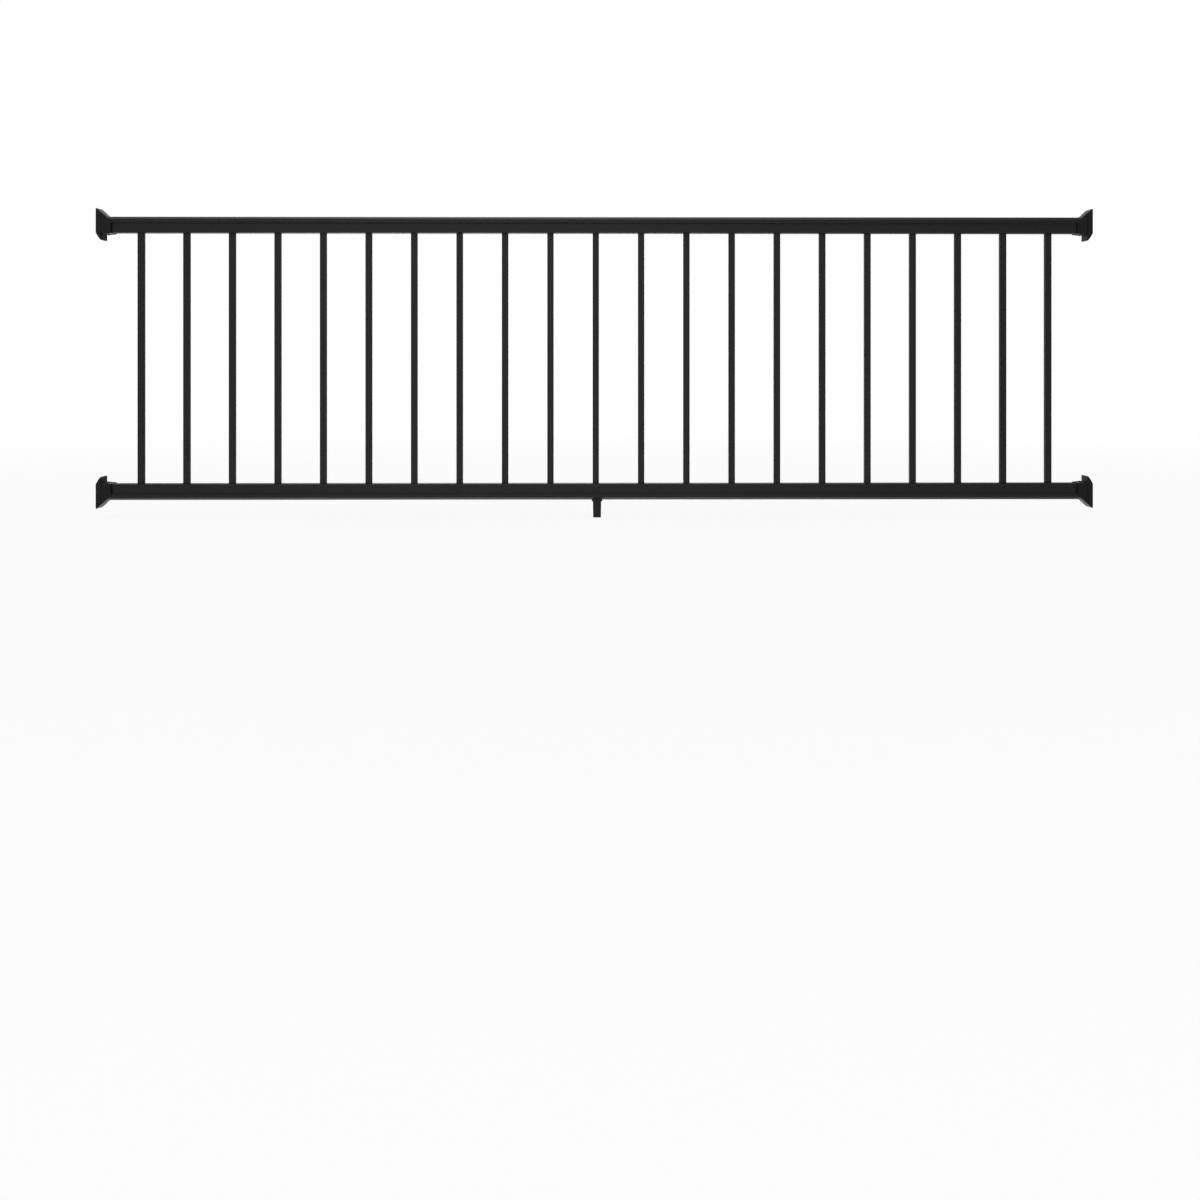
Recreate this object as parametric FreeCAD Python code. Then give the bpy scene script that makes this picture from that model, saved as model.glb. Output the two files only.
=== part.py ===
"""Deck railing section: two hollow loaf-shaped rails stiffened by inner aluminium
extrusions, a row of square balusters, four wall brackets and one support foot.

Frame: the origin is on the back face of the top left bracket, on the rail's centre
line. X runs along the rails to the other post, Y away from the viewer, Z up.
Lengths are in millimetres.
"""
import FreeCAD, Part
import math
import os

Vector = FreeCAD.Vector

# Whole section
section_length = 3020.0
overall_height = 914.4
deck_gap = 53.4

# Rail extrusion, seen from its end with the flat side down
rail_height = 50.0
rail_width = 52.0
box_width = 41.6
crown_radius = 40.0
crown_corner_radius = 2.5
shoulder_height = 30.4
box_top_height = 26.6
shoulder_corner_radius = 0.8
box_neck_radius = 2.0
box_corner_radius = 3.0
rail_wall = 2.85
rail_end_gap = 3.0

# Ribs inside the rail
rib_thickness = 1.8
rib_height = 21.4
rib_length = 6.0
rib_root_radius = 1.2
fin_spacing = 15.1
fin_thickness = 1.6
fin_tip_thickness = 0.4
fin_taper_length = 1.6
fin_root_radius = 1.4

# Aluminium stiffener inside the rail, an omega in section
insert_wall = 1.75
insert_top_height = 37.8
shoulder_center = 8.4
shoulder_radius = 5.0
shoulder_lean = 35.0
wall_run = 0.8
waist_radius = 14.0
leg_lean = 41.4
insert_flange_wall_gap = 1.5
insert_flange_lift = 0.6
insert_edge_radius = 0.6
insert_recess = 4.0
insert_clearance = 0.3

# Balusters
baluster_count = 21
baluster_size = 19.05
baluster_wall = 1.3
baluster_corner_chamfer = 0.9
baluster_pitch = 138.1
baluster_depth_in_rail = 11.0
punch_clearance = 0.3

# Wall bracket, seen from the side; heights are measured from the rail's centre line
bracket_half_width = 31.0
bracket_back = 3.5
flange_depth = 16.0
hood_top = 49.0
hood_edge = 1.8
hood_slope = 0.89
collar_half_width = 29.5
collar_length = 46.5
collar_floor = 3.2
collar_ramp = 12.5
collar_tip_height = 0.8
collar_tip_radius = 2.5
collar_edge_chamfer = 2.0
socket_clearance = 0.35
heel_start = -25.0
heel_middle_depth = 5.0
heel_middle = -34.5
heel_end = -47.6
heel_tip = 1.5
bracket_corner_radius = 5.0
bracket_edge_chamfer = 1.0
screw_hole_radius = 2.5
screw_spacing_across = 26.0
screw_spacing_up = 22.0

# Support foot under the bottom rail
foot_offset = 3.8
foot_top_width = 26.4
foot_bottom_width = 23.6
foot_saddle_width = 32.0
foot_saddle_height = 4.0
foot_wall = 2.6
foot_corner_radius = 2.0

# How near an edge has to lie to a plane to be picked
match_tolerance = 0.01

# Values that follow from the ones above
rail_spacing = overall_height - rail_height - deck_gap
top_rail_center = 0.0
bottom_rail_center = top_rail_center - rail_spacing
half_rail = rail_height / 2
rail_start = bracket_back + rail_end_gap
rail_length = section_length - 2 * rail_start
first_baluster = section_length / 2 - baluster_pitch * (baluster_count - 1) / 2
deck_level = top_rail_center + half_rail - overall_height


def at(x, across, up):
    """A point of a section that stands across the rails at x."""
    return Vector(x, across, up)


def line(start, end):
    return Part.makeLine(start, end)


def arc(start, middle, end):
    return Part.Arc(start, middle, end).toShape()


def face_of(edges):
    """A flat face inside a closed run of edges."""
    return Part.Face(Part.Wire(Part.__sortEdges__(edges)))


def rounded_outline(corners):
    """Edges of a closed outline whose corners are (point, radius)."""
    ends = []
    count = len(corners)
    for index in range(count):
        before = corners[index - 1][0]
        point, radius = corners[index]
        after = corners[(index + 1) % count][0]
        to_before = (before - point).normalize()
        to_after = (after - point).normalize()
        half_angle = to_before.getAngle(to_after) / 2
        reach = radius / math.tan(half_angle)
        bisector = (to_before + to_after).normalize()
        middle = point + bisector * (radius / math.sin(half_angle) - radius)
        ends.append((point + to_before * reach, middle, point + to_after * reach, radius))
    edges = []
    for index in range(count):
        start, middle, end, radius = ends[index]
        if radius > 0:
            edges.append(arc(start, middle, end))
        following = ends[(index + 1) % count][0]
        edges.append(line(end, following))
    return edges


def rail_outline():
    """The rail's outer outline at x = 0: a flat-bottomed box under a wider loaf."""
    half = rail_width / 2
    box = box_width / 2
    crown_center = rail_height - crown_radius
    inner_radius = crown_radius - crown_corner_radius
    corner_across = half - crown_corner_radius
    corner_up = crown_center + math.sqrt(inner_radius ** 2 - corner_across ** 2)
    lean = math.atan2(corner_up - crown_center, corner_across)
    crown_across = crown_radius * math.cos(lean)
    crown_up = crown_center + crown_radius * math.sin(lean)
    mid_lean = lean / 2
    edges = [
        arc(at(0, -crown_across, crown_up), at(0, 0, rail_height), at(0, crown_across, crown_up)),
    ]
    for side in (-1, 1):
        corner = arc(
            at(0, side * crown_across, crown_up),
            at(0, side * (corner_across + crown_corner_radius * math.cos(mid_lean)),
               corner_up + crown_corner_radius * math.sin(mid_lean)),
            at(0, side * half, corner_up),
        )
        edges.append(corner)
    # the lower part is a closed outline with a lid at the corner's height, which is then left off
    lower = rounded_outline([
        (at(0, half, corner_up), 0),
        (at(0, half, shoulder_height), shoulder_corner_radius),
        (at(0, box, box_top_height), box_neck_radius),
        (at(0, box, 0), box_corner_radius),
        (at(0, -box, 0), box_corner_radius),
        (at(0, -box, box_top_height), box_neck_radius),
        (at(0, -half, shoulder_height), shoulder_corner_radius),
        (at(0, -half, corner_up), 0),
    ])
    edges += lower[:-1]
    return Part.Wire(Part.__sortEdges__(edges))


def rail_rib(side):
    """One inward ledge of the rail, with filleted roots and a rounded tip."""
    inner = box_width / 2 - rail_wall
    tip = inner - rib_length
    half = rib_thickness / 2
    root = inner + rail_wall / 2
    fillet = rib_root_radius
    bend = fillet * (1 - math.sqrt(0.5))
    low = rib_height - half
    high = rib_height + half

    def point(across, up):
        return at(0, side * across, up)

    edges = [
        line(point(root, low - fillet), point(inner, low - fillet)),
        arc(point(inner, low - fillet), point(inner - bend, low - bend), point(inner - fillet, low)),
        line(point(inner - fillet, low), point(tip + half, low)),
        arc(point(tip + half, low), point(tip, rib_height), point(tip + half, high)),
        line(point(tip + half, high), point(inner - fillet, high)),
        arc(point(inner - fillet, high), point(inner - bend, high + bend), point(inner, high + fillet)),
        line(point(inner, high + fillet), point(root, high + fillet)),
        line(point(root, high + fillet), point(root, low - fillet)),
    ]
    return face_of(edges)


def roof_height(across):
    """Height of the crown's inner surface at a distance from the middle."""
    inner = crown_radius - rail_wall
    return rail_height - crown_radius + math.sqrt(inner ** 2 - across ** 2)


def fin_tip_height():
    """The fins end just above the stiffener's top bar."""
    return insert_top_height + insert_wall / 2 + insert_clearance


def rail_fin(side):
    """One thin fin that hangs from the crown, with filleted roots and a tapered tip."""
    middle = fin_spacing / 2
    half = fin_thickness / 2
    tip_half = fin_tip_thickness / 2
    fillet = fin_root_radius
    bend = fillet * (1 - math.sqrt(0.5))
    tip = fin_tip_height()
    outer_root = roof_height(middle + half + fillet)
    inner_root = roof_height(middle - half - fillet)
    # the root's top lies inside the crown's wall
    top = outer_root + rail_wall / 2

    def point(across, up):
        return at(0, side * across, up)

    outer = middle + half
    inner = middle - half
    edges = [
        line(point(inner - fillet, top), point(inner - fillet, inner_root)),
        arc(point(inner - fillet, inner_root), point(inner - bend, inner_root - bend),
            point(inner, inner_root - fillet)),
        line(point(inner, inner_root - fillet), point(inner, tip + fin_taper_length)),
        line(point(inner, tip + fin_taper_length), point(middle - tip_half, tip)),
        line(point(middle - tip_half, tip), point(middle + tip_half, tip)),
        line(point(middle + tip_half, tip), point(outer, tip + fin_taper_length)),
        line(point(outer, tip + fin_taper_length), point(outer, outer_root - fillet)),
        arc(point(outer, outer_root - fillet), point(outer + bend, outer_root - bend),
            point(outer + fillet, outer_root)),
        line(point(outer + fillet, outer_root), point(outer + fillet, top)),
        line(point(outer + fillet, top), point(inner - fillet, top)),
    ]
    return face_of(edges)


def along_rail(face, length):
    """Draws a flat section out along the rail."""
    return face.extrude(Vector(length, 0, 0))


def plain_rail(length):
    """The hollow extrusion with its two ledges and two fins, starting at x = 0."""
    outline = rail_outline()
    outside = along_rail(Part.Face(outline), length)
    inside = along_rail(Part.Face(outline.makeOffset2D(-rail_wall)), length)
    ribs = [along_rail(rail_rib(side), length) for side in (-1, 1)]
    fins = [along_rail(rail_fin(side), length) for side in (-1, 1)]
    return outside.cut(inside).fuse(ribs + fins).removeSplitter()


def baluster_centers():
    return [first_baluster + index * baluster_pitch for index in range(baluster_count)]


def square_bar(size, x, low, high):
    """An upright square bar, centred on the rails' middle."""
    return Part.makeBox(size, size, high - low, Vector(x - size / 2, -size / 2, low))


def upright_rail():
    """A rail with its flat side on z = 0, punched for the balusters."""
    rail = plain_rail(rail_length)
    rail.translate(Vector(rail_start, 0, 0))
    punch_size = baluster_size + 2 * punch_clearance
    punches = [
        square_bar(punch_size, x, -rail_wall, 2 * rail_wall)
        for x in baluster_centers()
    ]
    return rail.cut(Part.makeCompound(punches))


def shoulder_arc_center():
    """Middle of the stiffener's shoulder arc, as (across, up)."""
    return (shoulder_center, insert_top_height - shoulder_radius)


def waist_arc_center():
    """Middle of the waist arc, reached from the shoulder by a straight tangent run."""
    lean = math.radians(shoulder_lean)
    across, up = shoulder_arc_center()
    reach = shoulder_radius + waist_radius
    return (across + reach * math.cos(lean) - wall_run * math.sin(lean),
            up - reach * math.sin(lean) - wall_run * math.cos(lean))


def leg_direction(side):
    """The way a leg's straight end points, down and towards the rail's wall."""
    lean = math.radians(leg_lean)
    return at(0, side * math.sin(lean), -math.cos(lean))


def leg_run():
    """Length of a leg's straight end, which stops a clearance short of the rail's wall."""
    lean = math.radians(leg_lean)
    bend_end = waist_arc_center()[0] - waist_radius * math.cos(lean)
    tip = box_width / 2 - rail_wall - insert_clearance - insert_wall / 2
    return (tip - bend_end) / math.sin(lean)


def omega_run(side, outward):
    """Half of the stiffener's outline, a distance outward of its middle line.

    It runs along the top bar, round the shoulder, down the waist and straight down the
    leg, as lines and tangent arcs.
    """
    shoulder = shoulder_arc_center()
    waist = waist_arc_center()
    leave = -math.radians(shoulder_lean)
    meet = leave + math.pi
    bend_end = math.pi + math.radians(leg_lean)

    def swing(center, radius, angle):
        return at(0, side * (center[0] + radius * math.cos(angle)),
                  center[1] + radius * math.sin(angle))

    def bar(across):
        return at(0, side * across, insert_top_height + outward)

    outer = shoulder_radius + outward
    inner = waist_radius - outward
    leg_start = swing(waist, inner, bend_end)
    return [
        line(bar(0), bar(shoulder_center)),
        arc(bar(shoulder_center), swing(shoulder, outer, (math.pi / 2 + leave) / 2),
            swing(shoulder, outer, leave)),
        line(swing(shoulder, outer, leave), swing(waist, inner, meet)),
        arc(swing(waist, inner, meet), swing(waist, inner, (meet + bend_end) / 2), leg_start),
        line(leg_start, leg_start + leg_direction(side) * leg_run()),
    ]


def omega_face():
    """The stiffener's bent wall as a flat face at x = 0, its legs' ends rounded."""
    half = insert_wall / 2
    edges = []
    for side in (-1, 1):
        outer = omega_run(side, half)
        inner = omega_run(side, -half)
        outer_end = outer[-1].lastVertex(True).Point
        inner_end = inner[-1].lastVertex(True).Point
        tip = (outer_end + inner_end) / 2 + leg_direction(side) * half
        edges += outer + inner
        edges.append(arc(outer_end, tip, inner_end))
    return face_of(edges)


def insert_flange(side):
    """The short flat flange over the rail's ledge."""
    low = rib_height + rib_thickness / 2 + insert_flange_lift
    high = low + insert_wall
    root = waist_arc_center()[0] - waist_radius
    tip = box_width / 2 - rail_wall - insert_flange_wall_gap
    corners = [
        (at(0, side * root, low), 0),
        (at(0, side * tip, low), insert_edge_radius),
        (at(0, side * tip, high), insert_edge_radius),
        (at(0, side * root, high), 0),
    ]
    return face_of(rounded_outline(corners))


def upright_insert():
    """The stiffener with the rail's flat side on z = 0."""
    length = rail_length - 2 * insert_recess
    flanges = [along_rail(insert_flange(side), length) for side in (-1, 1)]
    stiffener = along_rail(omega_face(), length).fuse(flanges).removeSplitter()
    stiffener.translate(Vector(rail_start + insert_recess, 0, 0))
    return stiffener


def on_top_rail(shape):
    """Moves an upright rail piece to the top rail."""
    placed = shape.copy()
    placed.translate(Vector(0, 0, top_rail_center - half_rail))
    return placed


def on_bottom_rail(shape):
    """Turns an upright rail piece over for the bottom rail, crown down."""
    placed = shape.mirror(Vector(0, 0, 0), Vector(0, 0, 1))
    placed.translate(Vector(0, 0, bottom_rail_center + half_rail))
    return placed


def baluster(x):
    """One square tube with broken corners that reaches into both rails."""
    low = bottom_rail_center + half_rail - baluster_depth_in_rail
    high = top_rail_center - half_rail + baluster_depth_in_rail
    inside = baluster_size - 2 * baluster_wall
    bar = square_bar(baluster_size, x, low, high)
    bar = bar.makeChamfer(baluster_corner_chamfer, upright_edges(bar, low, high))
    return bar.cut(square_bar(inside, x, low - baluster_wall, high + baluster_wall))


def hood_height(depth):
    """Height of the hood's slope at a depth from the post."""
    return hood_top - hood_slope * (depth - hood_edge)


def collar_floor_height():
    """Underside of the collar, below the rail's flat side."""
    return -half_rail - socket_clearance - collar_floor


def flange_block():
    """The thick flange on the post, with its sloped hood above and rounded heel below."""

    def point(u, up):
        return Vector(u, -bracket_half_width, up)

    outline = [
        line(point(0, heel_start), point(0, hood_top)),
        line(point(0, hood_top), point(hood_edge, hood_top)),
        line(point(hood_edge, hood_top), point(flange_depth, hood_height(flange_depth))),
        line(point(flange_depth, hood_height(flange_depth)), point(flange_depth, heel_end)),
        line(point(flange_depth, heel_end), point(flange_depth - heel_tip, heel_end)),
        arc(point(flange_depth - heel_tip, heel_end), point(heel_middle_depth, heel_middle),
            point(0, heel_start)),
    ]
    block = face_of(outline).extrude(Vector(0, 2 * bracket_half_width, 0))
    return block.common(rounded_block(bracket_half_width, heel_end, hood_top,
                                      bracket_corner_radius, 0, flange_depth))


def collar_block():
    """The collar in front of the flange.

    The hood's slope is carried on along its sides, and its floor thins out in a ramp.
    """
    low = collar_floor_height()
    ramp_end = -half_rail - socket_clearance - collar_tip_height
    start = bracket_back

    def point(u, up):
        return Vector(u, -collar_half_width, up)

    outline = rounded_outline([
        (point(start, low), 0),
        (point(collar_length - collar_ramp, low), 0),
        (point(collar_length, ramp_end), 0),
        (point(collar_length, hood_height(collar_length)), collar_tip_radius),
        (point(start, hood_height(start)), 0),
    ])
    block = face_of(outline).extrude(Vector(0, 2 * collar_half_width, 0))
    block = block.makeChamfer(collar_edge_chamfer,
                              outer_edges(block, collar_length, collar_half_width))
    return block.common(rounded_block(collar_half_width, low, hood_top,
                                      bracket_corner_radius, start, collar_length))


def rounded_block(half_width, low, high, corner, start, end):
    """A block along X with rounded corners in its end view."""
    edges = rounded_outline([
        (at(start, -half_width, low), corner),
        (at(start, half_width, low), corner),
        (at(start, half_width, high), corner),
        (at(start, -half_width, high), corner),
    ])
    return face_of(edges).extrude(Vector(end - start, 0, 0))


def outer_edges(body, depth, half_width):
    """Edges at a depth from the post that touch one side of the bracket."""
    found = []
    for edge in body.Edges:
        box = edge.BoundBox
        level = max(abs(box.XMin - depth), abs(box.XMax - depth)) < match_tolerance
        outer = max(abs(box.YMin), abs(box.YMax)) > half_width - match_tolerance
        across = box.YMax - box.YMin > half_width
        if level and outer and not across:
            found.append(edge)
    return found


def screw_hole(across, up):
    return Part.makeCylinder(screw_hole_radius, 2 * bracket_back,
                             at(-bracket_back / 2, across, up), Vector(1, 0, 0))


def bracket():
    """A wall bracket at the left end of the top rail, its back on x = 0.

    A thick flange lies on the post. Its hood slopes down to the rail's crown, its heel is
    rounded off below, and a collar holds the rail's sides and flat side.
    """
    socket_outline = rail_outline().makeOffset2D(socket_clearance)
    socket = Part.Face(socket_outline).extrude(Vector(collar_length, 0, 0))
    socket.translate(Vector(bracket_back, 0, -half_rail))
    body = flange_block().fuse(collar_block()).cut(socket)
    for across in (-screw_spacing_across / 2, screw_spacing_across / 2):
        for up in (-screw_spacing_up / 2, screw_spacing_up / 2):
            body = body.cut(screw_hole(across, up))
    body = body.removeSplitter()
    return body.makeChamfer(bracket_edge_chamfer,
                            outer_edges(body, flange_depth, bracket_half_width))


def turned_over(shape, x=None, z=None):
    """A mirror image of a shape about an upright plane at x or a level plane at z."""
    if x is not None:
        return shape.mirror(Vector(x, 0, 0), Vector(1, 0, 0))
    return shape.mirror(Vector(0, 0, z), Vector(0, 0, 1))


def tapered_bar(x, bottom_width, top_width, low, high):
    """An upright square bar with a taper, centred on x and on the rails' middle."""
    low_half = bottom_width / 2
    high_half = top_width / 2
    # the wedge's own length runs along Y, so it is made lying and then turned upright
    bar = Part.makeWedge(-low_half, 0, -low_half, -high_half, -high_half,
                         low_half, high - low, low_half, high_half, high_half)
    bar.rotate(Vector(0, 0, 0), Vector(1, 0, 0), 90)
    bar.translate(Vector(x, 0, low))
    return bar


def upright_edges(shape, low, high):
    """Edges of a shape that run all the way from one level to the other."""
    found = []
    for edge in shape.Edges:
        box = edge.BoundBox
        if abs(box.ZMin - low) < match_tolerance and abs(box.ZMax - high) < match_tolerance:
            found.append(edge)
    return found


def support_foot():
    """A hollow tapered foot from the deck to the bottom rail, coped to the rail's crown."""
    x = section_length / 2 + foot_offset
    crown_low = bottom_rail_center - half_rail
    crown_axis = crown_low + crown_radius
    saddle_low = crown_low - foot_saddle_height
    block = tapered_bar(x, foot_bottom_width, foot_top_width, deck_level, crown_axis)
    block = block.makeFillet(foot_corner_radius, upright_edges(block, deck_level, crown_axis))
    saddle = Part.makeBox(foot_saddle_width, foot_top_width, crown_axis - saddle_low,
                          Vector(x - foot_saddle_width / 2, -foot_top_width / 2, saddle_low))
    inside = tapered_bar(x, foot_bottom_width - 2 * foot_wall, foot_top_width - 2 * foot_wall,
                         deck_level, saddle_low)
    crown = Part.makeCylinder(crown_radius, 2 * foot_saddle_width,
                              Vector(x - foot_saddle_width, 0, crown_axis), Vector(1, 0, 0))
    return block.fuse(saddle).cut(inside).cut(crown).removeSplitter()


def save(shape, name):
    shape.exportStep("parts/" + name + ".step")


def build():
    os.makedirs("parts", exist_ok=True)
    rail = upright_rail()
    stiffener = upright_insert()
    save(on_top_rail(rail), "top_rail")
    save(on_bottom_rail(rail), "bottom_rail")
    save(on_top_rail(stiffener), "top_rail_insert")
    save(on_bottom_rail(stiffener), "bottom_rail_insert")
    for index, x in enumerate(baluster_centers()):
        save(baluster(x), f"baluster_{index + 1:02d}")
    top_left = bracket()
    middle = section_length / 2
    halfway = (top_rail_center + bottom_rail_center) / 2
    top_right = turned_over(top_left, x=middle)
    save(top_left, "bracket_top_left")
    save(top_right, "bracket_top_right")
    save(turned_over(top_left, z=halfway), "bracket_bottom_left")
    save(turned_over(top_right, z=halfway), "bracket_bottom_right")
    save(support_foot(), "support_foot")


build()
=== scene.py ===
"""Deck railing section: the finish of its rails, stiffeners, balusters, brackets and foot,
the screws of its brackets, and a plain studio. Laid out as an add-on, run as a script.
Lengths are in metres. The origin is on the back of the top left bracket."""

import math

import bmesh
import bpy
from bpy.props import FloatProperty, FloatVectorProperty, IntProperty, PointerProperty
from bpy.types import Operator, Panel, PropertyGroup
from mathutils import Matrix, Vector


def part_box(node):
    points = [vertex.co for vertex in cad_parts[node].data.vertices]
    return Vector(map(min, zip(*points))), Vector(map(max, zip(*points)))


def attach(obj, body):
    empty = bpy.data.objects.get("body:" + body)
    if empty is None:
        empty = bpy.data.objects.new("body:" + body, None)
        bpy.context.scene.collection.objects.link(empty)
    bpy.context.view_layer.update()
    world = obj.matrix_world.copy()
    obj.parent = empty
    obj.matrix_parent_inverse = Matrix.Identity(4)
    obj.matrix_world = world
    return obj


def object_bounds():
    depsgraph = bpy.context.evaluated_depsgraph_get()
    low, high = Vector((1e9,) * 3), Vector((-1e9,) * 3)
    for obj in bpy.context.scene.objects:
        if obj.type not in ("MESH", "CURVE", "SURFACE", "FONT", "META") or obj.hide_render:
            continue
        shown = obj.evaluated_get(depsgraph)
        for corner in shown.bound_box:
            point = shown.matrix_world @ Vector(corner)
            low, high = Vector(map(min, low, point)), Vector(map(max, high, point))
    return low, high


bl_info = {
    "name": "Deck Railing Section",
    "version": (1, 0, 0),
    "blender": (4, 5, 0),
    "location": "View3D > Sidebar > Railing",
    "description": "Finishes a deck railing section and sets it in a plain studio",
    "category": "Object",
}

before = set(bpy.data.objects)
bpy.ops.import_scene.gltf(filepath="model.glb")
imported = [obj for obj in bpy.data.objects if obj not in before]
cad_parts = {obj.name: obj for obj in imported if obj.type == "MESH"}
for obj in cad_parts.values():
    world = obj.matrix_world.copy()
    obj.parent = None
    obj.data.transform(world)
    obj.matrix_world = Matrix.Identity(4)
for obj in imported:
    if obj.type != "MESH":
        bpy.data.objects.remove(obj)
cad_low, cad_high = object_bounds()

RAILS = ("top_rail", "bottom_rail")
STIFFENERS = ("top_rail_insert", "bottom_rail_insert")
BALUSTERS = sorted(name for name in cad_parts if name.startswith("baluster"))
BRACKETS = sorted(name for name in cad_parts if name.startswith("bracket"))
FOOT = "support_foot"
PHOTO_SIZE = 1200
WHITE = (1.0, 1.0, 1.0, 1.0)
FLOOR_SEGMENTS = 96

# The dome of a screw's head ends a little outside the corners of its square recess, and the
# recess is narrower at its floor.
DOME_STEPS = 5
DOME_MARGIN = 1.12
RECESS_TAPER = 0.94
SHARP_DEGREES = 35.0

# Radians that a screw is turned for each metre of its place along and across the rail.
TURN_ALONG = 37.0
TURN_ACROSS = 900.0

panel_middle = (cad_low + cad_high) / 2
deck_level = cad_low.z


def length(name, description, default):
    """A size that shows in metres."""
    return FloatProperty(name=name, description=description, default=default,
                         min=0.0, precision=5, subtype="DISTANCE", unit="LENGTH")


def share(name, description, default):
    """A plain number from 0 to 1."""
    return FloatProperty(name=name, description=description, default=default,
                         min=0.0, max=1.0, subtype="FACTOR")


def colour(name, description, default):
    return FloatVectorProperty(name=name, description=description, default=default,
                               min=0.0, max=1.0, size=3, subtype="COLOR")


class VinylSettings(PropertyGroup):
    """The satin black skin of the extruded rails, and their sawn ends."""
    tint: colour("Tint", "Colour of the skin", (0.0078, 0.0078, 0.008))
    gloss: share("Roughness", "Mean roughness of the skin", 0.4)
    specular: share("Specular", "Strength of the reflections", 0.25)
    cloud_size: length("Cloud size", "Width of the faint clouds in the tint", 0.35)
    grain_size: length("Grain size", "Width of one grain of the matt skin", 0.0009)
    grain_depth: length("Grain depth", "How far the grain stands out", 0.00002)
    die_line_width: length("Die line width", "Spacing of the faint lines along the rail", 0.0016)
    die_line_depth: length("Die line depth", "How deep the lines along the rail are", 0.000006)
    sawn_tint: colour("Sawn tint", "Colour of a sawn end", (0.07, 0.07, 0.073))
    sawn_extra: share("Sawn roughness", "How much rougher a sawn end is than the skin", 0.25)
    speckle_size: length("Speckle size", "Width of the speckles on a sawn end", 0.0006)
    saw_mark_width: length("Saw mark width", "Spacing of the marks the saw leaves", 0.0052)
    saw_mark_depth: length("Saw mark depth", "Depth of the marks the saw leaves", 0.00008)


class CoatSettings(PropertyGroup):
    """The powder coat on the balusters."""
    tint: colour("Tint", "Colour of the coat", (0.0078, 0.0078, 0.008))
    gloss: share("Roughness", "Mean roughness of the coat", 0.42)
    specular: share("Specular", "Strength of the reflections", 0.27)
    cloud_size: length("Cloud size", "Width of the faint clouds in the tint", 0.3)
    peel_size: length("Peel size", "Width of the coat's orange peel", 0.0022)
    peel_depth: length("Peel depth", "Depth of the coat's orange peel", 0.00003)
    dust_size: length("Dust size", "Width of the fine dots in the coat", 0.0004)
    dust_depth: length("Dust depth", "How far the fine dots stand out", 0.000006)


class MouldingSettings(PropertyGroup):
    """The moulded black of the brackets and the foot."""
    tint: colour("Tint", "Colour of the brackets", (0.0062, 0.0062, 0.0064))
    # Painted light: the foot's tint is a lighter copy of the bracket moulding, to offset the
    # shade that the bottom rail casts on the foot.
    foot_tint_lifted_against_shade: colour("Foot tint", "Colour of the foot", (0.0105, 0.0105, 0.0107))
    gloss: share("Roughness", "Mean roughness of the moulding", 0.46)
    specular: share("Specular", "Strength of the reflections", 0.2)
    cloud_size: length("Cloud size", "Width of the faint clouds in the tint", 0.04)
    spark_size: length("Spark size", "Width of the mould's fine leather-like grain", 0.0007)
    spark_depth: length("Spark depth", "Depth of the mould's grain", 0.00004)


class MetalSettings(PropertyGroup):
    """The mill finish of the aluminium stiffeners."""
    tint: colour("Tint", "Colour of the mill finish", (0.42, 0.43, 0.44))
    gloss: share("Roughness", "Mean roughness of the mill finish", 0.38)
    cloud_size: length("Cloud size", "Width of the faint clouds in the tint", 0.12)
    streak_width: length("Streak width", "Spacing of the drawing lines", 0.0007)
    streak_depth: length("Streak depth", "Depth of the drawing lines", 0.000004)
    scratch_size: length("Scratch size", "Width of the fine scratches", 0.0005)
    scratch_depth: length("Scratch depth", "Depth of the fine scratches", 0.000008)
    sawn_extra: share("Sawn roughness", "How much rougher a sawn end is", 0.18)
    sawn_metallic: share("Sawn metallic", "How metallic a sawn end looks", 0.45)


class ScrewSettings(PropertyGroup):
    """The pan head screws that hold each bracket to its rail, and their black coat."""
    head_radius: length("Head radius", "Radius of the screw's head", 0.0038)
    head_height: length("Head height", "Height of the domed head", 0.0022)
    rim_height: length("Rim height", "Height of the head's upright rim", 0.0007)
    drive_width: length("Drive width", "Width of the square recess", 0.0028)
    drive_depth: length("Drive depth", "Depth of the square recess", 0.0014)
    from_post: length("From post", "Distance of the screws from the bracket's back", 0.0275)
    spacing: length("Spacing", "Distance between a bracket's two screws", 0.022)
    collar_floor: length("Collar floor", "Depth of the collar's outside below the rail", 0.00355)
    around: IntProperty(name="Segments", description="Points round the head", default=48, min=8)
    tint: colour("Tint", "Colour of the coated head", (0.03, 0.03, 0.032))
    worn_tint: colour("Worn tint", "Colour where the coat is worn", (0.252, 0.258, 0.264))
    gloss: share("Roughness", "Mean roughness of the head", 0.35)
    metallic: share("Metallic", "How metallic the head looks", 0.7)
    grain_size: length("Grain size", "Width of one grain of the coat", 0.0004)
    grain_depth: length("Grain depth", "How far the grain stands out", 0.000008)
    wear_size: length("Wear size", "Width of the worn blots", 0.003)
    wear_depth: length("Wear depth", "Depth of the worn blots", 0.00001)


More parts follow.
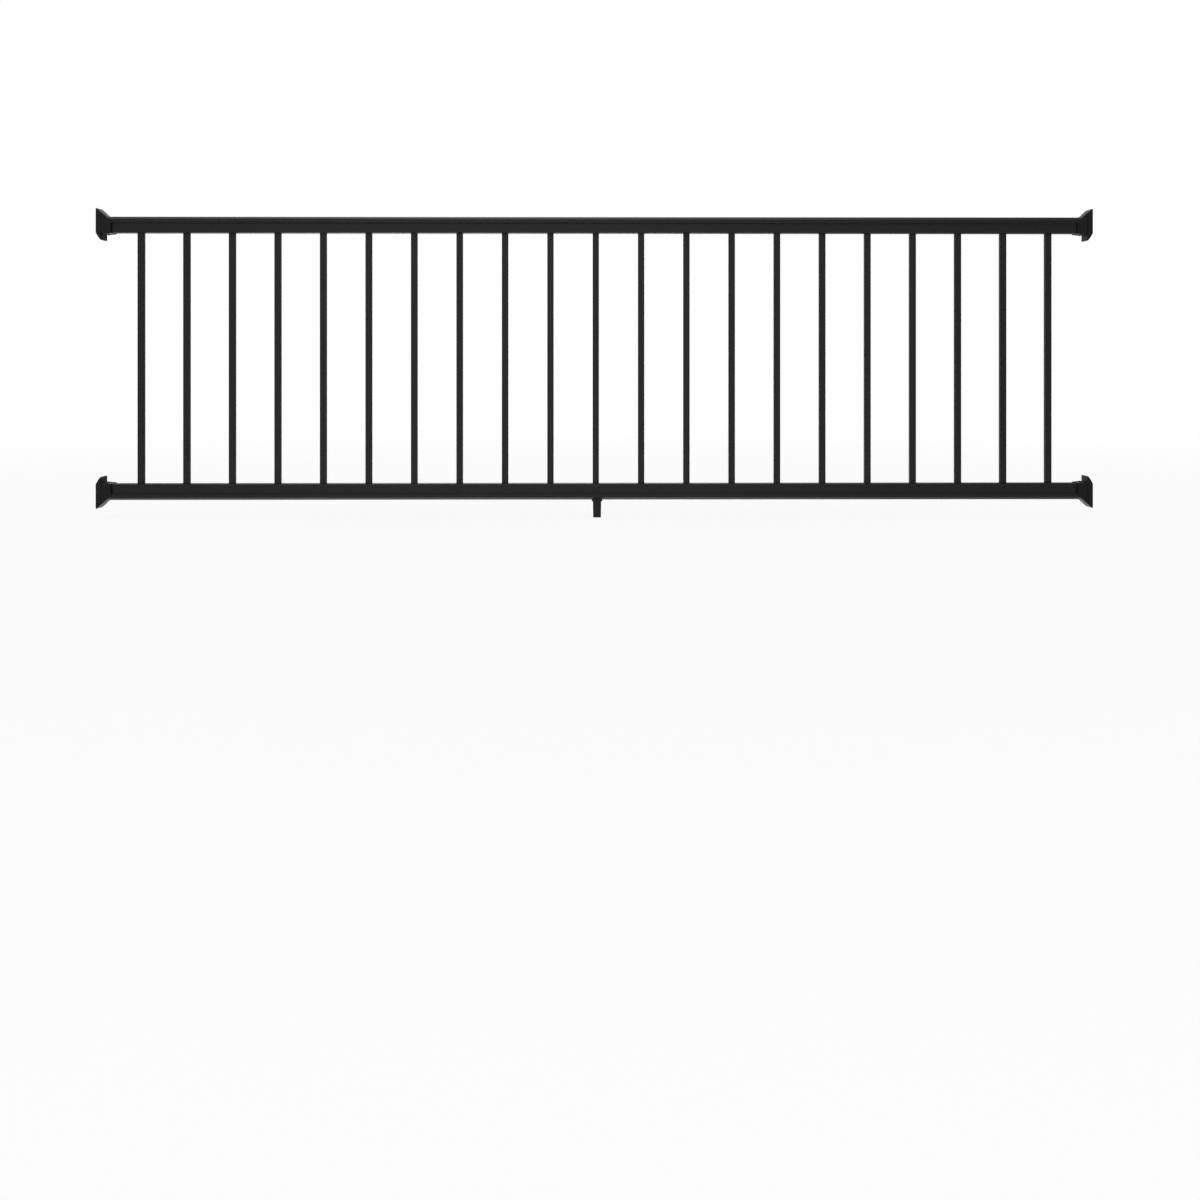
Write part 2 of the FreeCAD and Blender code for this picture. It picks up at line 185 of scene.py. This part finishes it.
class StageSettings(PropertyGroup):
    """The floor, the lights and the camera."""
    floor_tint: colour("Floor tint", "Colour of the pale floor", (0.95, 0.95, 0.95))
    floor_cloud_size: length("Floor cloud size", "Width of the floor's faint clouds", 0.8)
    floor_radius: length("Floor radius", "How far the floor reaches", 7.0)
    floor_fade: length("Floor fade", "Width of the soft edge of the floor", 6.3)
    floor_cover: share("Floor cover", "How much of the white surround the floor hides", 0.1)
    camera_distance: length("Camera distance", "From the camera to the balusters", 4.725)
    sensor: FloatProperty(name="Sensor", description="Sensor width in millimetres", default=36.0)
    lens: FloatProperty(name="Lens", description="Focal length in millimetres", default=46.5)
    middle_across: FloatProperty(name="Middle across", default=595.8,
                                 description="Photograph's pixel column of the section's middle")
    middle_down: FloatProperty(name="Middle down", default=358.35,
                               description="Photograph's pixel row at the camera's height")
    camera_height: length("Camera height", "From the deck to the camera", 0.4839)
    camera_turn: FloatProperty(name="Camera turn", default=0.55,
                               description="Degrees that the camera is turned to the right")
    sky: FloatProperty(name="Sky", description="Brightness of the studio's upper front",
                       default=0.2)
    walls: FloatProperty(name="Walls", description="Brightness of the studio's sides and back",
                         default=0.05)
    sky_lean: FloatProperty(name="Sky lean", default=58.0,
                            description="Degrees from overhead to the middle of the bright part")
    bounce: FloatProperty(name="Bounce", description="Brightness from below the horizon",
                          default=0.4)
    bounce_reach: share("Bounce reach", "Sine of the angle down to the full bounce", 0.4)
    strip: FloatProperty(name="Strip", default=1.25,
                         description="Brightness of the strip that crosses the section's middle")
    strip_reach: share("Strip reach", "Sine of the angle at which the strip has faded", 0.37)
    strip_left: share("Strip left", "Sine of the strip's angle to the left", 0.06)
    key: FloatProperty(name="Key light", description="Strength of the main soft light",
                       default=0.7)
    fill: FloatProperty(name="Fill light", description="Strength of the soft light from behind",
                        default=0.2)


class RailingSettings(PropertyGroup):
    """All that a user would change."""
    vinyl: PointerProperty(type=VinylSettings)
    coat: PointerProperty(type=CoatSettings)
    moulding: PointerProperty(type=MouldingSettings)
    metal: PointerProperty(type=MetalSettings)
    screw: PointerProperty(type=ScrewSettings)
    stage: PointerProperty(type=StageSettings)


class Nodes:
    """A shader node tree under construction."""

    def __init__(self, tree):
        self.tree = tree
        self.tree.nodes.clear()

    def node(self, kind, **settings):
        """Adds a node of a kind, with its settings."""
        made = self.tree.nodes.new("ShaderNode" + kind)
        for key, value in settings.items():
            setattr(made, key, value)
        return made

    def link(self, source, target):
        self.tree.links.new(source, target)

    def spread(self, value, low, high, start=0.3, end=0.7, curve="LINEAR"):
        """Maps a range of a value, by default the middle of a pattern's, to low and high."""
        made = self.node("MapRange", interpolation_type=curve)
        self.link(value, made.inputs["Value"])
        made.inputs["From Min"].default_value = start
        made.inputs["From Max"].default_value = end
        made.inputs["To Min"].default_value = low
        made.inputs["To Max"].default_value = high
        return made.outputs["Result"]

    def math(self, operation, first, second=0.0):
        """One step of arithmetic on numbers or sockets."""
        made = self.node("Math", operation=operation)
        for socket, value in zip(made.inputs, (first, second)):
            if isinstance(value, (int, float)):
                socket.default_value = value
            else:
                self.link(value, socket)
        return made.outputs["Value"]


class Finish(Nodes):
    """A material under construction: its nodes, its shader and the piece's own coordinates."""

    def __init__(self, name):
        self.material = bpy.data.materials.new(name)
        self.material.use_nodes = True
        super().__init__(self.material.node_tree)
        output = self.node("OutputMaterial")
        self.shader = self.node("BsdfPrincipled")
        self.link(self.shader.outputs["BSDF"], output.inputs["Surface"])
        self.place = self.node("TexCoord").outputs["Object"]

    def stretched(self, along_x=1.0, along_y=1.0, along_z=1.0):
        """The piece's coordinates, scaled by its axes."""
        mapping = self.node("Mapping")
        mapping.inputs["Scale"].default_value = (along_x, along_y, along_z)
        self.link(self.place, mapping.inputs["Vector"])
        return mapping.outputs["Vector"]

    def noise(self, width, detail=2.0, place=None):
        """A cloudy pattern from 0 to 1 whose blots are about this wide."""
        made = self.node("TexNoise")
        made.inputs["Scale"].default_value = 1 / width
        made.inputs["Detail"].default_value = detail
        self.link(place or self.place, made.inputs["Vector"])
        return made.outputs["Fac"]

    def cells(self, width):
        """A pattern of small pits about this wide."""
        made = self.node("TexVoronoi", feature="SMOOTH_F1")
        made.inputs["Scale"].default_value = 1 / width
        self.link(self.place, made.inputs["Vector"])
        return made.outputs["Distance"]

    def bands(self, spacing, place):
        """Slanting bands, bent a little, this far apart along an axis."""
        waves_at_scale_one = 10 / math.tau
        made = self.node("TexWave", wave_type="BANDS", bands_direction="DIAGONAL")
        made.inputs["Scale"].default_value = 1 / (waves_at_scale_one * spacing)
        made.inputs["Distortion"].default_value = 4.0
        self.link(place, made.inputs["Vector"])
        return made.outputs["Fac"]

    def blend(self, share_of_second, first, second):
        """Mixes two colours, given as tints or as sockets."""
        made = self.node("Mix", data_type="RGBA")
        self.link(share_of_second, made.inputs["Factor"])
        for name, value in (("A", first), ("B", second)):
            socket = next(s for s in made.inputs if s.name == name and s.type == "RGBA")
            if isinstance(value, bpy.types.NodeSocket):
                self.link(value, socket)
            else:
                socket.default_value = (*value, 1.0)
        return next(s for s in made.outputs if s.type == "RGBA")

    def mottled(self, pattern, tint, least, most, start=0.3, end=0.7):
        """A tint whose strength goes from least to most with a pattern."""
        return self.blend(self.spread(pattern, 0.0, 1.0, start, end),
                          toned(tint, least), toned(tint, most))

    def facing_along_x(self, start=0.9, end=0.99):
        """1 where the surface is square to the rails' length, and 0 elsewhere."""
        normal = self.node("SeparateXYZ")
        self.link(self.node("NewGeometry").outputs["True Normal"], normal.inputs["Vector"])
        return self.spread(self.math("ABSOLUTE", normal.outputs["X"]), 0.0, 1.0, start, end)

    def colour(self, value):
        self.link(value, self.shader.inputs["Base Color"])

    def roughness(self, value):
        self.link(value, self.shader.inputs["Roughness"])

    def specular(self, level):
        """Sets how strongly the shader reflects, the same all over."""
        self.shader.inputs["Specular IOR Level"].default_value = level

    def bump(self, *layers):
        """Bump layers, each a pattern and its depth."""
        normal = None
        for pattern, depth in layers:
            made = self.node("Bump")
            made.inputs["Distance"].default_value = depth
            self.link(pattern, made.inputs["Height"])
            if normal:
                self.link(normal, made.inputs["Normal"])
            normal = made.outputs["Normal"]
        self.link(normal, self.shader.inputs["Normal"])


def toned(tint, factor):
    """A tint made lighter or darker."""
    return tuple(channel * factor for channel in tint)


def clear_of_saw_marks(finish, vinyl):
    """1 beside the marks that the saw leaves on a cut, 0 in a mark, and up to 0.8 where a mark
    is worn."""
    slanted = finish.stretched(along_y=-1.0, along_z=0.6)
    beside = finish.spread(finish.bands(vinyl.saw_mark_width, slanted), 0.0, 1.0,
                           start=0.0, end=0.08)
    worn = finish.spread(finish.noise(vinyl.saw_mark_width, detail=1.0), 0.0, 0.8,
                         start=0.4, end=0.6)
    return finish.math("MAXIMUM", beside, worn)


def vinyl_finish(vinyl):
    """Satin black extrusion: matt grain, faint lines along the rail, saw marks on its ends."""
    finish = Finish("satin_black_vinyl")
    finish.specular(vinyl.specular)
    grain = finish.noise(vinyl.grain_size, detail=3.0)
    lines = finish.noise(vinyl.die_line_width, place=finish.stretched(along_x=0.02))
    clouds = finish.noise(vinyl.cloud_size, detail=3.0, place=finish.stretched(along_x=0.4))
    speckle = finish.noise(vinyl.speckle_size, detail=4.0)
    clear = clear_of_saw_marks(finish, vinyl)
    sawn = finish.facing_along_x()

    skin = finish.mottled(clouds, vinyl.tint, 0.9, 1.1)
    speckled = finish.mottled(speckle, vinyl.sawn_tint, 0.75, 1.8, start=0.42, end=0.78)
    cut = finish.blend(clear, toned(vinyl.sawn_tint, 0.35), speckled)
    finish.colour(finish.blend(sawn, skin, cut))
    skin_gloss = finish.math("ADD", finish.spread(grain, -0.03, 0.05),
                             finish.spread(lines, vinyl.gloss - 0.02, vinyl.gloss + 0.04))
    sawn_extra = finish.math("MULTIPLY", sawn, vinyl.sawn_extra)
    finish.roughness(finish.math("ADD", skin_gloss, sawn_extra))
    finish.bump((grain, vinyl.grain_depth), (lines, vinyl.die_line_depth),
                (finish.math("MULTIPLY", clear, sawn), vinyl.saw_mark_depth))
    return finish.material


def mill_finish(metal):
    """Bare extruded aluminium: drawing lines along it and a dull sawn end."""
    finish = Finish("mill_aluminium")
    streaks = finish.noise(metal.streak_width, detail=3.0, place=finish.stretched(along_x=0.01))
    clouds = finish.noise(metal.cloud_size, detail=4.0, place=finish.stretched(along_x=0.3))
    scratches = finish.noise(metal.scratch_size, detail=4.0,
                             place=finish.stretched(along_y=0.15))
    sawn = finish.facing_along_x()
    drawn = finish.mottled(clouds, metal.tint, 0.82, 1.0)
    cut = finish.mottled(scratches, metal.tint, 0.75, 1.05)
    finish.colour(finish.blend(sawn, drawn, cut))
    drawn_gloss = finish.spread(streaks, metal.gloss - 0.03, metal.gloss + 0.05)
    sawn_extra = finish.math("MULTIPLY", sawn, metal.sawn_extra)
    finish.roughness(finish.math("ADD", drawn_gloss, sawn_extra))
    metallic = finish.spread(sawn, 1.0, metal.sawn_metallic, start=0.0, end=1.0)
    finish.link(metallic, finish.shader.inputs["Metallic"])
    finish.bump((streaks, metal.streak_depth), (scratches, metal.scratch_depth))
    return finish.material


def coat_finish(coat):
    """Black powder coat with orange peel and fine dots."""
    finish = Finish("black_powder_coat")
    finish.specular(coat.specular)
    peel = finish.noise(coat.peel_size, detail=1.5)
    dust = finish.noise(coat.dust_size)
    finish.colour(finish.mottled(finish.noise(coat.cloud_size), coat.tint, 0.92, 1.1))
    finish.roughness(finish.math("ADD", finish.spread(dust, -0.03, 0.04),
                                 finish.spread(peel, coat.gloss - 0.03, coat.gloss + 0.03)))
    finish.bump((peel, coat.peel_depth), (dust, coat.dust_depth))
    return finish.material


def moulded_finish(moulding, name, tint):
    """Moulded black with a spark-eroded grain, and a finer one a third as wide over it."""
    finish = Finish(name)
    finish.specular(moulding.specular)
    sparks = finish.cells(moulding.spark_size)
    fine = finish.noise(moulding.spark_size / 3, detail=3.0)
    clouds = finish.noise(moulding.cloud_size, detail=3.0)
    finish.colour(finish.mottled(clouds, tint, 0.88, 1.12))
    cloudy_gloss = finish.spread(clouds, moulding.gloss - 0.03, moulding.gloss + 0.04)
    finish.roughness(finish.math("ADD", finish.spread(fine, -0.04, 0.05), cloudy_gloss))
    finish.bump((sparks, moulding.spark_depth), (fine, moulding.spark_depth / 2))
    return finish.material


def screw_finish(screw):
    """Black coated steel, a little worn bright by the driver."""
    finish = Finish("coated_screw")
    grain = finish.noise(screw.grain_size, detail=3.0)
    blots = finish.noise(screw.wear_size, detail=3.0)
    worn = finish.spread(blots, 0.0, 0.35, start=0.6, end=0.72)
    finish.colour(finish.blend(worn, screw.tint, screw.worn_tint))
    finish.roughness(finish.spread(grain, screw.gloss - 0.05, screw.gloss + 0.1))
    finish.shader.inputs["Metallic"].default_value = screw.metallic
    finish.bump((grain, screw.grain_depth), (blots, screw.wear_depth))
    return finish.material


def dress(node, material):
    """Puts a material on a CAD node's own slots."""
    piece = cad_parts[node]
    piece.data.materials.clear()
    piece.data.materials.append(material)


def dome_rings(screw):
    """(radius, height) of the head's rings, from its seat over the rim to the recess."""
    rings = [(screw.head_radius, 0.0), (screw.head_radius, screw.rim_height)]
    inner_radius = screw.drive_width / math.sqrt(2) * DOME_MARGIN
    rise = screw.head_height - screw.rim_height
    for step in range(1, DOME_STEPS + 1):
        turn = step / DOME_STEPS * math.pi / 2
        radius = inner_radius + (screw.head_radius - inner_radius) * math.cos(turn)
        rings.append((radius, screw.rim_height + rise * math.sin(turn)))
    return rings


def directions(around):
    """(across, up) of evenly spaced points on a circle of radius 1."""
    turns = [index / around * math.tau for index in range(around)]
    return [(math.cos(turn), math.sin(turn)) for turn in turns]


def round_ring(mesh, radius, height, around):
    return [mesh.verts.new((radius * across, radius * up, height))
            for across, up in directions(around)]


def square_ring(mesh, width, height, around):
    """A ring whose points lie on a square, one beside each point of a round ring."""
    points = []
    for across, up in directions(around):
        reach = width / 2 / max(abs(across), abs(up))
        points.append(mesh.verts.new((across * reach, up * reach, height)))
    return points


def join_rings(mesh, lower, upper):
    count = len(lower)
    for index in range(count):
        following = (index + 1) % count
        mesh.faces.new((lower[index], lower[following], upper[following], upper[index]))


def screw_mesh(screw):
    """A pan head with a square recess, its seat on z = 0 and its dome upwards."""
    mesh = bmesh.new()
    around = screw.around
    rings = [round_ring(mesh, radius, height, around) for radius, height in dome_rings(screw)]
    floor_width = screw.drive_width * RECESS_TAPER
    floor_height = screw.head_height - screw.drive_depth
    rings.append(square_ring(mesh, screw.drive_width, screw.head_height, around))
    rings.append(square_ring(mesh, floor_width, floor_height, around))
    for lower, upper in zip(rings, rings[1:]):
        join_rings(mesh, lower, upper)
    mesh.faces.new(rings[0][::-1])
    mesh.faces.new(rings[-1])
    data = bpy.data.meshes.new("pan_head_screw")
    mesh.to_mesh(data)
    mesh.free()
    return data


def shade_by_angle(piece, degrees):
    """Smooth shading that keeps edges sharper than an angle."""
    data = piece.data
    data.shade_smooth()
    data.set_sharp_from_angle(angle=math.radians(degrees))


def screw_places(screw):
    """(name, seat, side) of each screw: side is -1 under a top bracket, 1 over a bottom one."""
    places = []
    for bracket in BRACKETS:
        low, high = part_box(bracket)
        left = bracket.endswith("left")
        across = low.x + screw.from_post if left else high.x - screw.from_post
        rail_low, rail_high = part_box("top_rail" if "top" in bracket else "bottom_rail")
        side = -1 if "top" in bracket else 1
        flat = rail_low.z if side < 0 else rail_high.z
        corner = bracket.removeprefix("bracket_")
        for number, offset in enumerate((-screw.spacing / 2, screw.spacing / 2), start=1):
            seat = Vector((across, offset, flat + side * screw.collar_floor))
            places.append((f"screw_{corner}_{number}", seat, side))
    return places


def add_screw(name, seat, side, data, material):
    """One screw head on its seat, turned by its place."""
    piece = bpy.data.objects.new(name, data.copy())
    bpy.context.scene.collection.objects.link(piece)
    piece.data.materials.append(material)
    turn = Matrix.Rotation(seat.x * TURN_ALONG + seat.y * TURN_ACROSS, 4, "Z")
    flip = Matrix.Rotation(math.pi if side < 0 else 0.0, 4, "X")
    piece.data.transform(Matrix.Translation(seat) @ flip @ turn)
    shade_by_angle(piece, SHARP_DEGREES)
    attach(piece, "root")


def floor_material(stage):
    """Pale matt floor that hides little of the surround and fades out at its edge."""
    finish = Finish("pale_floor")
    finish.specular(0.1)
    finish.shader.inputs["Roughness"].default_value = 0.9
    clouds = finish.noise(stage.floor_cloud_size)
    finish.colour(finish.mottled(clouds, stage.floor_tint, 0.985, 1.0))
    offset = finish.node("VectorMath", operation="SUBTRACT")
    offset.inputs[1].default_value = (panel_middle.x, 0.0, deck_level)
    finish.link(finish.place, offset.inputs[0])
    far = finish.node("VectorMath", operation="LENGTH")
    finish.link(offset.outputs["Vector"], far.inputs[0])
    cover = finish.spread(far.outputs["Value"], stage.floor_cover, 0.0,
                          start=stage.floor_radius - stage.floor_fade, end=stage.floor_radius,
                          curve="SMOOTHSTEP")
    finish.link(cover, finish.shader.inputs["Alpha"])
    return finish.material


def add_floor(stage):
    """A disc at the deck's level, with its centre below the middle of the section."""
    mesh = bmesh.new()
    bmesh.ops.create_circle(mesh, cap_ends=True, segments=FLOOR_SEGMENTS,
                            radius=stage.floor_radius,
                            matrix=Matrix.Translation((panel_middle.x, 0.0, deck_level)))
    data = bpy.data.meshes.new("floor")
    mesh.to_mesh(data)
    mesh.free()
    floor = bpy.data.objects.new("floor", data)
    bpy.context.scene.collection.objects.link(floor)
    data.materials.append(floor_material(stage))


def add_soft_sun(name, strength, spread, height, turn):
    """A wide distant light from a height and a turn to the left of the front, in degrees."""
    lamp = bpy.data.lights.new(name, "SUN")
    lamp.energy = strength
    lamp.angle = math.radians(spread)
    holder = bpy.data.objects.new(name, lamp)
    bpy.context.scene.collection.objects.link(holder)
    holder.rotation_euler = (math.radians(90.0 - height), 0.0, math.radians(-turn))


def glow_towards(nodes, direction, middle, low, high, full=1.0):
    """A brightness that rises from low, square to a direction, to high where the cosine of
    the angle to it reaches full."""
    facing = nodes.node("VectorMath", operation="DOT_PRODUCT")
    facing.inputs[1].default_value = middle
    nodes.link(direction, facing.inputs[0])
    return nodes.spread(facing.outputs["Value"], low, high, start=0.0, end=full,
                        curve="SMOOTHSTEP")


def studio_strip(nodes, direction, stage):
    """The brightness of a strip round the studio, from front over top and back to below,
    that fades to both sides."""
    parts = nodes.node("SeparateXYZ")
    nodes.link(direction, parts.inputs["Vector"])
    aside = nodes.math("ABSOLUTE", nodes.math("ADD", parts.outputs["X"], stage.strip_left))
    return nodes.spread(aside, stage.strip, 0.0, start=0.0, end=stage.strip_reach,
                        curve="SMOOTHSTEP")


def studio_light(nodes, stage):
    """The brightness round the section: the upper front, from below, and the strip."""
    direction = nodes.node("TexCoord").outputs["Generated"]
    lean = math.radians(stage.sky_lean)
    upper_front = (0.0, -math.sin(lean), math.cos(lean))
    straight_down = (0.0, 0.0, -1.0)
    sky = glow_towards(nodes, direction, upper_front, stage.walls, stage.sky)
    bounce = glow_towards(nodes, direction, straight_down, 0.0, stage.bounce,
                          full=stage.bounce_reach)
    strip = studio_strip(nodes, direction, stage)
    return nodes.math("ADD", nodes.math("ADD", sky, bounce), strip)


def set_world(stage):
    """A white surround for the camera, and a soft studio for all other rays."""
    world = bpy.data.worlds.new("studio")
    bpy.context.scene.world = world
    world.use_nodes = True
    nodes = Nodes(world.node_tree)
    light = nodes.node("Background")
    light.inputs["Color"].default_value = WHITE
    nodes.link(studio_light(nodes, stage), light.inputs["Strength"])
    seen = nodes.node("Background")
    seen.inputs["Color"].default_value = WHITE
    either = nodes.node("MixShader")
    nodes.link(nodes.node("LightPath").outputs["Is Camera Ray"], either.inputs["Fac"])
    nodes.link(light.outputs["Background"], either.inputs[1])
    nodes.link(seen.outputs["Background"], either.inputs[2])
    nodes.link(either.outputs["Shader"], nodes.node("OutputWorld").inputs["Surface"])


def add_camera(stage):
    """In front, at the photograph's distance, height and turn, shifted to its framing."""
    data = bpy.data.cameras.new("camera")
    data.sensor_width = stage.sensor
    data.lens = stage.lens
    turn = math.radians(stage.camera_turn)
    turned_aside = math.tan(turn) * data.lens / data.sensor_width
    data.shift_x = 0.5 - stage.middle_across / PHOTO_SIZE - turned_aside
    data.shift_y = stage.middle_down / PHOTO_SIZE - 0.5
    camera = bpy.data.objects.new("camera", data)
    bpy.context.scene.collection.objects.link(camera)
    camera.location = (panel_middle.x, -stage.camera_distance, deck_level + stage.camera_height)
    camera.rotation_euler = (math.pi / 2, 0.0, -turn)
    bpy.context.scene.camera = camera


class RAILING_OT_finish_rails(Operator):
    """Puts the satin black vinyl on both rails"""
    bl_idname = "railing.finish_rails"
    bl_label = "Finish Rails"

    def execute(self, context):
        material = vinyl_finish(context.scene.railing.vinyl)
        for name in RAILS:
            dress(name, material)
        return {"FINISHED"}


class RAILING_OT_finish_stiffeners(Operator):
    """Puts the mill finish on the aluminium stiffeners inside the rails"""
    bl_idname = "railing.finish_stiffeners"
    bl_label = "Finish Stiffeners"

    def execute(self, context):
        material = mill_finish(context.scene.railing.metal)
        for name in STIFFENERS:
            dress(name, material)
        return {"FINISHED"}


class RAILING_OT_finish_balusters(Operator):
    """Puts the black powder coat on the balusters"""
    bl_idname = "railing.finish_balusters"
    bl_label = "Finish Balusters"

    def execute(self, context):
        material = coat_finish(context.scene.railing.coat)
        for name in BALUSTERS:
            dress(name, material)
        return {"FINISHED"}


class RAILING_OT_finish_brackets(Operator):
    """Puts the grained moulded black on the four wall brackets"""
    bl_idname = "railing.finish_brackets"
    bl_label = "Finish Brackets"

    def execute(self, context):
        moulding = context.scene.railing.moulding
        material = moulded_finish(moulding, "moulded_black_bracket", moulding.tint)
        for name in BRACKETS:
            dress(name, material)
        return {"FINISHED"}


class RAILING_OT_finish_foot(Operator):
    """Puts the grained moulded black on the support foot"""
    bl_idname = "railing.finish_foot"
    bl_label = "Finish Foot"

    def execute(self, context):
        moulding = context.scene.railing.moulding
        # The foot gets the lighter copy of the moulding, painted light that offsets the rail's
        # shade on it.
        dress(FOOT, moulded_finish(moulding, "moulded_black_foot", moulding.foot_tint_lifted_against_shade))
        return {"FINISHED"}


class RAILING_OT_fit_screws(Operator):
    """Adds the screws that hold the brackets to the rails"""
    bl_idname = "railing.fit_screws"
    bl_label = "Fit Screws"

    def execute(self, context):
        screw = context.scene.railing.screw
        material = screw_finish(screw)
        data = screw_mesh(screw)
        for name, seat, side in screw_places(screw):
            add_screw(name, seat, side, data, material)
        bpy.data.meshes.remove(data)
        return {"FINISHED"}


class RAILING_OT_set_stage(Operator):
    """Adds the pale floor, the soft lights, the white surround and the camera"""
    bl_idname = "railing.set_stage"
    bl_label = "Set Stage"

    def execute(self, context):
        stage = context.scene.railing.stage
        context.scene.view_settings.view_transform = "Standard"
        add_floor(stage)
        set_world(stage)
        add_soft_sun("key_light", stage.key, spread=60.0, height=46.0, turn=6.0)
        add_soft_sun("fill_light", stage.fill, spread=90.0, height=50.0, turn=190.0)
        add_camera(stage)
        return {"FINISHED"}


OPERATORS = (
    RAILING_OT_set_stage,
    RAILING_OT_finish_rails,
    RAILING_OT_finish_stiffeners,
    RAILING_OT_finish_balusters,
    RAILING_OT_finish_brackets,
    RAILING_OT_finish_foot,
    RAILING_OT_fit_screws,
)


class RAILING_PT_tools(Panel):
    """Lists the steps of the railing section"""
    bl_idname = "RAILING_PT_tools"
    bl_label = "Deck Railing Section"
    bl_space_type = "VIEW_3D"
    bl_region_type = "UI"
    bl_category = "Railing"

    def draw(self, context):
        for operator in OPERATORS:
            self.layout.operator(operator.bl_idname)


GROUPS = (VinylSettings, CoatSettings, MouldingSettings, MetalSettings, ScrewSettings,
          StageSettings, RailingSettings)


def register():
    for made in (*GROUPS, *OPERATORS, RAILING_PT_tools):
        bpy.utils.register_class(made)
    bpy.types.Scene.railing = PointerProperty(type=RailingSettings)


def unregister():
    del bpy.types.Scene.railing
    for made in reversed((*GROUPS, *OPERATORS, RAILING_PT_tools)):
        bpy.utils.unregister_class(made)


def main():
    register()
    for operator in OPERATORS:
        group, name = operator.bl_idname.split(".")
        getattr(getattr(bpy.ops, group), name)()


if __name__ == "__main__":
    main()
